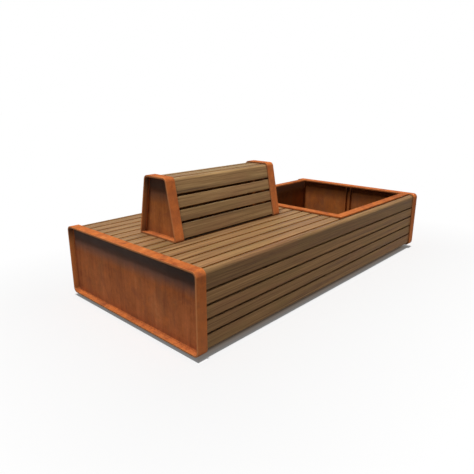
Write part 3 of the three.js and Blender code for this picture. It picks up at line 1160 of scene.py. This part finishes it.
KEY_LEAN_LEFT = math.radians(15)
KEY_LEAN_FRONT = math.radians(-1)
KEY_FAN = math.radians(12)
KEY_LAMPS = 3
KEY_LEVEL = 1.0
KEY_SPREAD = math.radians(6)
FILL_SPREAD = math.radians(1)
FRONT_FILL_SPREAD = math.radians(6)
FRONT_FILL_LEVEL = 0.235
FRONT_FILL_LEAN = math.radians(6.6)
BACK_FILL_LEVEL = 0.3
END_FILL_LEVEL = 0.33
WORLD_LEVEL = 0.085
FLOOR_KEY_SPREAD = math.radians(3)
FLOOR_KEY_LEAN_LEFT = math.radians(2.2)
FLOOR_KEY_LEAN_FRONT = math.radians(1.5)
FLOOR_HALF = 40.0
FLOOR_LIT = 0.69
FLOOR_GLOW = 0.253
FLOOR_BOUNCE = 0.05
# Painted shade: the floor's glow is a little less near the bench.
FLOOR_PAINTED_SHADE = 0.08
FLOOR_PAINTED_SHADE_REACH = 1.0
# A narrow strip of painted light on the floor just under the left end and round its front corner.
PAINTED_STRIP_START = 1 * MM
PAINTED_STRIP_END = 6.5 * MM
PAINTED_STRIP_FRONT = 8.5 * MM
PAINTED_STRIP_CORNER = 62 * MM
# Painted shadow under the bench: the floor loses its lit colour, its glow falls deeper in, and the
# glow is warmed there as painted bounce light.
UNDER_EDGE = 12 * MM
UNDER_DARK = 30 * MM
UNDER_DEEP = 43 * MM
UNDER_FULL = 66 * MM
UNDER_GLOW = 0.3
UNDER_PAINTED_BOUNCE = srgb(255, 225, 198)


def add_sun(name, towards, level, spread, floor, on_floor=False):
    """A distant lamp in a direction, which lights a face square to it at that level.

    It shines on the bench alone, or on the floor alone.
    """
    data = bpy.data.lights.new(name, "SUN")
    data.energy = level * math.pi
    data.angle = spread
    lamp = bpy.data.objects.new(name, data)
    lamp.rotation_euler = Vector(towards).to_track_quat("Z", "Y").to_euler()
    bpy.context.scene.collection.objects.link(lamp)
    receivers = bpy.data.collections.new(name + "_receivers")
    receivers.objects.link(floor)
    receivers.collection_objects[0].light_linking.link_state = "INCLUDE" if on_floor else "EXCLUDE"
    lamp.light_linking.receiver_collection = receivers


def seen_share(shader):
    """1 for what the camera, a reflection or clear glass sees, and 0 for bounced light."""
    path = shader.add("LightPath").outputs
    seen = shader.math("MAXIMUM", path["Is Camera Ray"], path["Is Glossy Ray"])
    return shader.math("MAXIMUM", seen, path["Is Transmission Ray"])


def add_lights(floor):
    """A row of key lamps that lean in from the left above the bench, and level fill lamps.

    The floor has a nearly plumb lamp of its own, so that the bench's shadow stays close under
    it. The front fill comes a little from the left, and so it reaches into the end frame.
    """
    for i in range(KEY_LAMPS):
        lean = KEY_LEAN_LEFT + KEY_FAN * (i / (KEY_LAMPS - 1) - 0.5)
        key = Vector((-math.tan(lean), -math.tan(KEY_LEAN_FRONT), 1))
        add_sun("key_%d" % i, key, KEY_LEVEL * key.length / KEY_LAMPS, KEY_SPREAD, floor)
    rise = math.tan(FRONT_FILL_SPREAD / 2)
    front = (-math.sin(FRONT_FILL_LEAN), -math.cos(FRONT_FILL_LEAN), rise)
    add_sun("front_fill", front, FRONT_FILL_LEVEL, FRONT_FILL_SPREAD, floor)
    rise = math.tan(FILL_SPREAD / 2)
    add_sun("back_fill", (0, 1, rise), BACK_FILL_LEVEL, FILL_SPREAD, floor)
    add_sun("end_fill", (1, 0, rise), END_FILL_LEVEL, FILL_SPREAD, floor)
    plumb = (-math.tan(FLOOR_KEY_LEAN_LEFT), -math.tan(FLOOR_KEY_LEAN_FRONT), 1)
    add_sun("floor_key", plumb, KEY_LEVEL, FLOOR_KEY_SPREAD, floor, on_floor=True)


def add_world():
    world = bpy.data.worlds.new("studio")
    bpy.context.scene.world = world
    shader = Shader(world)
    level = shader.fit(seen_share(shader), 0.0, 1.0, WORLD_LEVEL, 1.0)
    light = shader.add("Background", {"Color": grey(1.0), "Strength": level})
    shader.add("OutputWorld", {"Surface": light.outputs[0]})


def footprint_ways(shader, place):
    """How far a floor point lies outside the bench's footprint, and how far inside it.

    The footprint's middle is the frame's origin.
    """
    low, high = cad_box
    half = ((high.x - low.x) / 2, (high.y - low.y) / 2, 0)
    beyond = shader.add("VectorMath", {0: place}, operation="ABSOLUTE").outputs[0]
    beyond = shader.add("VectorMath", {0: beyond, 1: half}, operation="SUBTRACT").outputs[0]
    parts = shader.add("SeparateXYZ", {0: beyond}).outputs
    inside = shader.product(shader.math("MAXIMUM", parts["X"], parts["Y"]), -1.0)
    beyond = shader.add("VectorMath", {0: beyond, 1: (0, 0, 0)}, operation="MAXIMUM").outputs[0]
    outside = shader.add("VectorMath", {0: beyond}, operation="LENGTH").outputs["Value"]
    return outside, inside


def painted_strip_share(shader, place, inside):
    """1 in a narrow strip of painted light just under the left end and round its front corner, or
    else 0.
    """
    low = tuple(cad_box[0])
    from_low = shader.add("VectorMath", {0: place, 1: low}, operation="SUBTRACT").outputs[0]
    from_low = shader.add("SeparateXYZ", {0: from_low}).outputs
    under_end = shader.math("LESS_THAN", from_low["X"], PAINTED_STRIP_END)
    under_front = shader.math("LESS_THAN", from_low["Y"], PAINTED_STRIP_FRONT)
    at_corner = shader.math("LESS_THAN", from_low["X"], PAINTED_STRIP_CORNER)
    strip = shader.math("MAXIMUM", under_end, shader.product(under_front, at_corner))
    return shader.product(strip, shader.math("GREATER_THAN", inside, PAINTED_STRIP_START))


def floor_material():
    """A pale floor that glows, with painted light and shade round the bench.

    Its glow is a little less near the bench, as painted shade. Under the bench it is dark, a
    painted shadow warmed by painted bounce light, and a narrow strip of painted light lies just
    under the left end.
    """
    material = bpy.data.materials.new("pale_floor")
    shader = Shader(material)
    seen = seen_share(shader)
    place = object_place(shader)
    outside, inside = footprint_ways(shader, place)
    # Painted shadow: the floor under the bench loses its lit colour.
    lit = shader.fit(inside, UNDER_EDGE, UNDER_DARK, FLOOR_LIT, 0.0)
    lit = shader.add("CombineColor", {0: lit, 1: lit, 2: lit}).outputs[0]
    plain = shader.add("BsdfDiffuse", {"Color": shader.mix(seen, grey(FLOOR_BOUNCE), lit)})

    # Painted shade near the bench.
    level = shader.fit(outside, 0.0, FLOOR_PAINTED_SHADE_REACH, FLOOR_GLOW - FLOOR_PAINTED_SHADE, FLOOR_GLOW)
    # Painted shadow deeper under the bench.
    deep = shader.fit(inside, UNDER_DEEP, UNDER_FULL, 1.0, UNDER_GLOW)
    # Painted light: the strip under the left end glows as if lit.
    painted_strip = painted_strip_share(shader, place, inside)
    level = shader.math("MULTIPLY_ADD", painted_strip, FLOOR_LIT, shader.product(level, deep))
    # Painted bounce light warms the floor under the bench.
    tint = shader.mix(shader.fit(inside, UNDER_EDGE, UNDER_FULL), grey(1.0), UNDER_PAINTED_BOUNCE)
    glow = shader.add("Emission", {"Color": tint, "Strength": shader.product(seen, level)})
    both = shader.add("AddShader", {0: plain.outputs[0], 1: glow.outputs[0]})
    shader.add("OutputMaterial", {"Surface": both.outputs[0]})
    return material


def add_floor():
    bpy.ops.mesh.primitive_plane_add(size=2 * FLOOR_HALF)
    floor = bpy.context.object
    floor.name = "floor"
    floor.data.materials.append(floor_material())
    return floor


add_camera()
add_world()
add_lights(add_floor())
for board_node in BOARD_NODES:
    board(board_node)
add_steelwork()

bpy.context.scene.view_settings.view_transform = "Standard"
